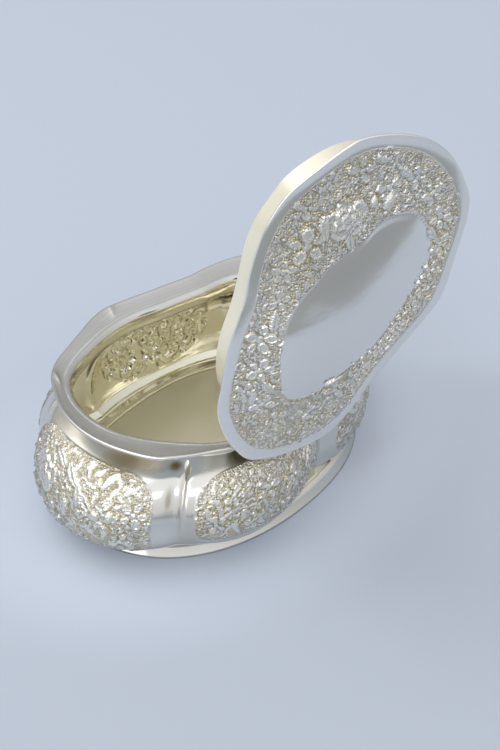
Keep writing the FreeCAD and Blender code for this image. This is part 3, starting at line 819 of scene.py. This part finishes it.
def chasedSilver(name, tarnishShare, polished):
    # sterling silver, raised from behind, chased and hand polished
    # it gives the eye bright highs, warm tarnish in the lows, painted shade under the lip and a matted ground
    look = silverLook
    material, tree, shader = newMaterial(name)
    shader.inputs["Metallic"].default_value = 1.0
    place = addNode(tree, "TexCoord").outputs["Object"]
    cavity, ground, inner, warm = (addNode(tree, "Attribute", {"attribute_name": key}).outputs["Fac"]
                                   for key in ("cavity", "ground", "inner", "warm"))
    cloud = addNode(tree, "TexNoise", links={"Vector": place},
                    values={"Scale": 1000 / look["tarnishPatch"], "Detail": 4.0, "Roughness": 0.6})
    patch = addNode(tree, "MapRange", links={"Value": cloud.outputs["Fac"]},
                    values={"From Min": 0.35, "From Max": 0.68, "To Min": 0.55, "To Max": 1.25})
    hollow = addNode(tree, "MapRange", links={"Value": cavity},
                     values={"From Min": 0.05, "From Max": 0.65, "To Min": 0.0, "To Max": tarnishShare})
    lows = addNode(tree, "Math", {"operation": "MULTIPLY_ADD", "use_clamp": True},
                   links={0: ground, 2: hollow}, values={1: 0.40 * tarnishShare})
    stain = addNode(tree, "Math", {"operation": "MULTIPLY", "use_clamp": True},
                    links={0: lows, 1: patch})
    yellowed = addNode(tree, "Math", {"operation": "MULTIPLY", "use_clamp": True},
                       links={0: warm, 1: patch})
    # painted shade: a dark brown laid over the colour where the wall's shade mask asks for it
    paintedShade = addNode(tree, "Attribute", {"attribute_name": "paintedShade"}).outputs["Fac"]
    skin = addNode(tree, "Mix", ofColours, {"Factor": yellowed},
                   {6: linear(polished), 7: linear(look["worn"])})
    for factor, key in ((stain, "tarnish"), (paintedShade, "paintedShade")):
        skin = addNode(tree, "Mix", ofColours, {"Factor": factor, 6: skin.outputs[2]},
                       {7: linear(look[key])})
    gilded = addNode(tree, "Mix", ofColours, {"Factor": hollow},
                     {6: linear(look["gilt"]), 7: linear(look["giltLow"])})
    colour = addNode(tree, "Mix", ofColours, {"Factor": inner, 6: skin.outputs[2], 7: gilded.outputs[2]})
    tree.links.new(colour.outputs[2], shader.inputs["Base Color"])
    # roughness: polished where plain, softer on the flowers, matted between them
    onRelief = addNode(tree, "MapRange", links={"Value": warm},
                       values={"To Min": look["polishedRoughness"], "To Max": look["reliefRoughness"]})
    rough = addNode(tree, "Mix", {"data_type": "FLOAT"}, {"Factor": ground, "A": onRelief},
                    {"B": look["mattedRoughness"]})
    smear = addNode(tree, "TexNoise", links={"Vector": place},
                    values={"Scale": 1000 / look["smearSize"], "Detail": 5.0, "Roughness": 0.6})
    roughness = addNode(tree, "Math", {"operation": "MULTIPLY_ADD", "use_clamp": True},
                        links={0: smear.outputs["Fac"], 2: rough}, values={1: 0.08})
    tree.links.new(roughness.outputs[0], shader.inputs["Roughness"])
    # punch marks of the matting, close together on the ground and faint on the flowers
    marks = addNode(tree, "TexVoronoi", {"feature": "F1"}, links={"Vector": place},
                    values={"Scale": 1000 / look["mattingSpacing"], "Randomness": 0.75})
    chased = addNode(tree, "Attribute", {"attribute_name": "chased"})
    faint = addNode(tree, "Math", {"operation": "MULTIPLY"}, {0: chased.outputs["Fac"]}, {1: 0.9})
    share = addNode(tree, "Math", {"operation": "MULTIPLY_ADD"}, {0: ground, 2: faint}, {1: 2.6})
    dents = addNode(tree, "Math", {"operation": "MULTIPLY"}, {0: marks.outputs["Distance"], 1: share})
    punched = addNode(tree, "Bump", values={"Strength": 0.8, "Distance": look["mattingDepth"] * metre},
                      links={"Height": dents})
    planish = addNode(tree, "TexNoise", links={"Vector": place},
                      values={"Scale": 1000 / look["planishingSpacing"], "Detail": 2.0})
    hammered = addNode(tree, "Bump", values={"Strength": 0.35, "Distance": look["planishingDepth"] * metre},
                       links={"Height": planish.outputs["Fac"], "Normal": punched})
    # fine lines that run along the lip, from years of wiping
    across = addNode(tree, "Attribute", {"attribute_name": "across"})
    drift = addNode(tree, "Math", {"operation": "MULTIPLY_ADD"},
                    {0: across.outputs["Fac"], 2: smear.outputs["Fac"]}, {1: look["lipWidth"]})
    lines = addNode(tree, "TexNoise", {"noise_dimensions": "1D"}, {"W": drift},
                    {"Scale": 1 / look["wipedSpacing"], "Detail": 3.0})
    onLip = addNode(tree, "Math", {"operation": "GREATER_THAN"}, {0: across.outputs["Fac"]}, {1: 0.02})
    scored = addNode(tree, "Math", {"operation": "MULTIPLY"}, {0: lines.outputs["Fac"], 1: onLip})
    wiped = addNode(tree, "Bump", values={"Strength": 0.5, "Distance": look["wipedDepth"] * metre},
                    links={"Height": scored, "Normal": hammered})
    tree.links.new(wiped.outputs[0], shader.inputs["Normal"])
    return material


# The floor and the band under the lid: plain sheet with an old gold wash. Mark sizes are in mm.
floorLook = {
    "material": "gilt_floor",
    "colour": "#F3EED8",
    "roughness": 0.50,
    "metallic": 1.0,
}
bandLook = {
    "material": "gilt_band",
    "colour": "#F6F0DA",
    "roughness": 0.32,
    "metallic": 0.45,
}
washLook = {
    "dimShare": 0.90,
    "cloudSize": 25.0,
    "waveSize": 16.7,
    "waveDepth": 0.05,
}


def plainSilver(look):
    # sheet silver, planished and washed with gold: pale yellow, a little wavy, with cloudy wiping marks
    material, tree, shader = newMaterial(look["material"])
    shader.inputs["Metallic"].default_value = look["metallic"]
    place = addNode(tree, "TexCoord").outputs["Object"]
    cloud = addNode(tree, "TexNoise", links={"Vector": place},
                    values={"Scale": 1000 / washLook["cloudSize"], "Detail": 6.0, "Roughness": 0.6})
    bright = linear(look["colour"])
    colour = addNode(tree, "Mix", ofColours, {"Factor": cloud.outputs["Fac"]},
                     {6: dimmer(bright, washLook["dimShare"]), 7: bright})
    tree.links.new(colour.outputs[2], shader.inputs["Base Color"])
    rough = addNode(tree, "MapRange", links={"Value": cloud.outputs["Fac"]},
                    values={"From Min": 0.3, "From Max": 0.7, "To Min": 0.8 * look["roughness"],
                            "To Max": 1.25 * look["roughness"]})
    tree.links.new(rough.outputs[0], shader.inputs["Roughness"])
    wave = addNode(tree, "TexNoise", links={"Vector": place},
                   values={"Scale": 1000 / washLook["waveSize"], "Detail": 2.0})
    bump = addNode(tree, "Bump", values={"Strength": 0.5, "Distance": washLook["waveDepth"] * metre},
                   links={"Height": wave.outputs["Fac"]})
    tree.links.new(bump.outputs[0], shader.inputs["Normal"])
    return material


def dress(node, material):
    piece = frame["nodes"][node]
    piece.data.materials.clear()
    piece.data.materials.append(material)


def standsFor(piece, node, material):
    piece.data.materials.append(material)
    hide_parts(node)
    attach(piece, "root")


# Pieces

bodySilver = chasedSilver("raised_silver_body", silverLook["bodyTarnish"], silverLook["bodyPolished"])
standsFor(makeOuterWall(), "box_body", bodySilver)
standsFor(makeLining(), "box_body", bodySilver)
print("stage: body done")

lidSilver = chasedSilver("raised_silver_lid", silverLook["lidTarnish"], silverLook["lidPolished"])
standsFor(makeLidFace(), "lid_cover", lidSilver)
standsFor(makeLidBack(), "lid_cover", lidSilver)
print("stage: lid done")

dress("base_plate", plainSilver(floorLook))
dress("lid_bezel", plainSilver(bandLook))
print("stage: plate and band done")


# Studio

studio = {
    "floorColour": "#BBC3D1",
    "floorShadeShare": 0.89,
    "floorPaintedLight": 1.14,
    # painted light makes the table paler round the box, and painted shade makes it dimmer away from it, in metres
    "paintedLightOval": (0.72, 1.0, 1.0),
    "paintedLightReach": (0.080, 0.042),
    "shadeBehind": (-0.03, -0.11),
    "shadeBefore": (0.062, 0.034),
    "shadeBeside": (0.0, 0.07),
    "floorRoughness": 0.6,
    "awayFromView": (0.785, 0.620, 0.0),
    "acrossView": (0.620, -0.785, 0.0),
    "brightSide": (-0.72, -0.57, 0.40),
    "floorSize": 3.0,
    "worldLow": "#C6C5C2",
    "worldHigh": "#E2E4E6",
    "worldStrength": (0.60, 1.40),
    "worldRise": 0.8,
    # painted reflection: the lid mirrors the table to the right of the view, as far as this bent edge, and past it the
    # floor is painted darker for glossy rays, standing in for the dim room beyond
    "mirrorEdge": (-0.151, 0.015, 0.95),
    "mirrorEnd": 0.270,
    "paintedReflectionDim": "#8A8D8E",
    "lights": (
        ("overhead", (-0.45, 0.60, 1.30), (0.0, 0.0, 0.03), (1.5, 1.2), 7.0),
        ("window", (-1.25, 0.05, 0.80), (0.0, 0.0, 0.03), (1.1, 1.3), 3.2),
        ("front", (-0.80, -0.64, 0.90), (0.0, 0.0, 0.03), (0.42, 0.22), 1.1),
    ),
}


def makeFloor():
    # white laminate table top, seen pale and a little blue, with painted shade in soft bands and painted light round
    # the box, and a darker painted reflection where only the lid mirrors it
    size = studio["floorSize"]
    mesh = bpy.data.meshes.new("floor")
    mesh.from_pydata([(-size, -size, 0), (size, -size, 0), (size, size, 0), (-size, size, 0)], [], [(0, 1, 2, 3)])
    floor = bpy.data.objects.new("floor", mesh)
    bpy.context.scene.collection.objects.link(floor)
    material, tree, shader = newMaterial("white_laminate")
    place = addNode(tree, "TexCoord").outputs["Object"]
    path = addNode(tree, "LightPath")
    level, start, slope = studio["mirrorEdge"]
    parts = addNode(tree, "SeparateXYZ", links={0: place})
    straight = addNode(tree, "Math", {"operation": "SUBTRACT"}, {1: parts.outputs["Y"]}, {0: level})
    slant = addNode(tree, "Math", {"operation": "MULTIPLY_ADD"}, {0: parts.outputs["X"], 2: straight}, {1: -slope})
    slanted = addNode(tree, "Math", {"operation": "ADD"}, {0: slant}, {1: slope * start})
    corner = addNode(tree, "Math", {"operation": "SMOOTH_MIN"},
                     {0: straight, 1: slanted}, {2: 0.012})
    far = addNode(tree, "Math", {"operation": "ADD"}, {0: parts.outputs["Y"]}, {1: studio["mirrorEnd"]})
    strip = addNode(tree, "Math", {"operation": "MINIMUM"}, {0: corner, 1: far})
    edge = addNode(tree, "MapRange", links={"Value": strip},
                   values={"From Min": -0.002, "From Max": 0.003})
    mirrored = addNode(tree, "Math", {"operation": "MULTIPLY"}, {0: edge, 1: path.outputs["Is Glossy Ray"]})
    # painted shade: a little dimmer towards the view and on the right of the box
    away = addNode(tree, "VectorMath", {"operation": "DOT_PRODUCT"}, {0: place},
                   {1: studio["awayFromView"]})
    right = addNode(tree, "VectorMath", {"operation": "DOT_PRODUCT"}, {0: place},
                    {1: studio["acrossView"]})
    ramps = []
    for source, key in ((away, "shadeBehind"), (away, "shadeBefore"), (right, "shadeBeside")):
        low, high = studio[key]
        ramps.append(addNode(tree, "MapRange", {"interpolation_type": "SMOOTHSTEP"},
                             {"Value": source.outputs["Value"]}, {"From Min": low, "From Max": high}))
    shade = addNode(tree, "Math", {"operation": "MULTIPLY"}, {0: ramps[1], 1: ramps[2]})
    paintedFloorShade = addNode(tree, "Math", {"operation": "MAXIMUM"}, {0: ramps[0], 1: shade})
    bright = linear(studio["floorColour"])
    # painted light: the table's colour made paler round the box, where its shadow falls
    oval = addNode(tree, "VectorMath", {"operation": "MULTIPLY"}, {0: place},
                   {1: studio["paintedLightOval"]})
    reach = addNode(tree, "VectorMath", {"operation": "LENGTH"}, {0: oval})
    near = addNode(tree, "MapRange", {"interpolation_type": "SMOOTHSTEP"}, {"Value": reach.outputs["Value"]},
                   {"From Min": studio["paintedLightReach"][0], "From Max": studio["paintedLightReach"][1]})
    # painted shade: the floor colour mixed towards a dimmer copy of itself
    plain = addNode(tree, "Mix", ofColours, {"Factor": paintedFloorShade},
                    {6: bright, 7: dimmer(bright, studio["floorShadeShare"])})
    seen = addNode(tree, "Mix", ofColours, {"Factor": near, 6: plain.outputs[2]},
                   {7: dimmer(bright, studio["floorPaintedLight"])})
    # painted reflection: glossy rays see the darker colour beyond the bent edge
    colour = addNode(tree, "Mix", ofColours, {"Factor": mirrored, 6: seen.outputs[2]},
                     {7: linear(studio["paintedReflectionDim"])})
    tree.links.new(colour.outputs[2], shader.inputs["Base Color"])
    shader.inputs["Roughness"].default_value = studio["floorRoughness"]
    floor.data.materials.append(material)


def softBox(name, place, target, size, watts):
    light = bpy.data.lights.new(name, "AREA")
    light.shape = "RECTANGLE"
    light.size, light.size_y = size
    light.energy = watts
    lamp = bpy.data.objects.new(name, light)
    lamp.location = place
    lamp.rotation_euler = (Vector(target) - Vector(place)).to_track_quat("-Z", "Y").to_euler()
    bpy.context.scene.collection.objects.link(lamp)


def makeWorld():
    # a plain room, dimmer at the horizon than overhead, and brighter behind the camera than behind the box
    world = bpy.data.worlds.new("room")
    bpy.context.scene.world = world
    world.use_nodes = True
    tree = world.node_tree
    tree.nodes.clear()
    output = addNode(tree, "OutputWorld")
    direction = addNode(tree, "TexCoord").outputs["Generated"]
    parts = addNode(tree, "SeparateXYZ", links={0: direction})
    height = addNode(tree, "MapRange", links={"Value": parts.outputs["Z"]},
                     values={"From Min": 0.0, "From Max": studio["worldRise"]})
    facing = addNode(tree, "VectorMath", {"operation": "DOT_PRODUCT"}, {0: direction},
                     {1: studio["brightSide"]})
    strength = addNode(tree, "MapRange", links={"Value": facing.outputs["Value"]},
                       values={"From Min": -0.8, "From Max": 0.8, "To Min": studio["worldStrength"][0],
                               "To Max": studio["worldStrength"][1]})
    colour = addNode(tree, "Mix", ofColours, {"Factor": height},
                     {6: linear(studio["worldLow"]), 7: linear(studio["worldHigh"])})
    back = addNode(tree, "Background", links={"Color": colour.outputs[2], "Strength": strength})
    tree.links.new(back.outputs[0], output.inputs[0])


# The camera, in degrees, mm and photo pixels
view = {
    "elevation": 35.41,
    "azimuth": -51.69,
    "distance": 623.6,
    "focal": 2000.0,
    "roll": 0.824,
    "target": (0, 0, 43.8),
    "targetPixel": (212.3, 345.2),
    "frame": (500, 750),
    "sensor": 36.0,
}


def makeCamera():
    elevation, azimuth, roll = (math.radians(view[key]) for key in ("elevation", "azimuth", "roll"))
    back = Vector((math.sin(azimuth) * math.cos(elevation), -math.cos(azimuth) * math.cos(elevation),
                   math.sin(elevation)))
    place = Vector(view["target"]) + back * view["distance"]
    forward = -back
    right = forward.cross(Vector((0, 0, 1))).normalized()
    up = right.cross(forward)
    # turned so that the target falls on its own pixel
    yaw = math.atan((view["targetPixel"][0] - view["frame"][0] / 2) / view["focal"])
    pitch = math.atan((view["targetPixel"][1] - view["frame"][1] / 2) / view["focal"])
    turn = Matrix.Rotation(yaw, 3, up)
    forward, right = turn @ forward, turn @ right
    tilt = Matrix.Rotation(pitch, 3, right)
    forward, up = tilt @ forward, tilt @ up
    across = right * math.cos(roll) + up * math.sin(roll)
    upward = up * math.cos(roll) - right * math.sin(roll)
    camera = bpy.data.objects.new("camera", bpy.data.cameras.new("camera"))
    camera.data.sensor_fit = "VERTICAL"
    camera.data.sensor_height = view["sensor"]
    camera.data.lens = view["focal"] * view["sensor"] / view["frame"][1]
    rotation = Matrix((across, upward, -forward)).transposed().to_4x4()
    camera.matrix_world = Matrix.Translation(place * metre) @ rotation
    camera.data.clip_start = 0.01
    bpy.context.scene.collection.objects.link(camera)
    bpy.context.scene.camera = camera


makeFloor()
makeWorld()
for lamp in studio["lights"]:
    softBox(*lamp)
makeCamera()
bpy.context.scene.view_settings.view_transform = "Standard"
print("stage: studio done")
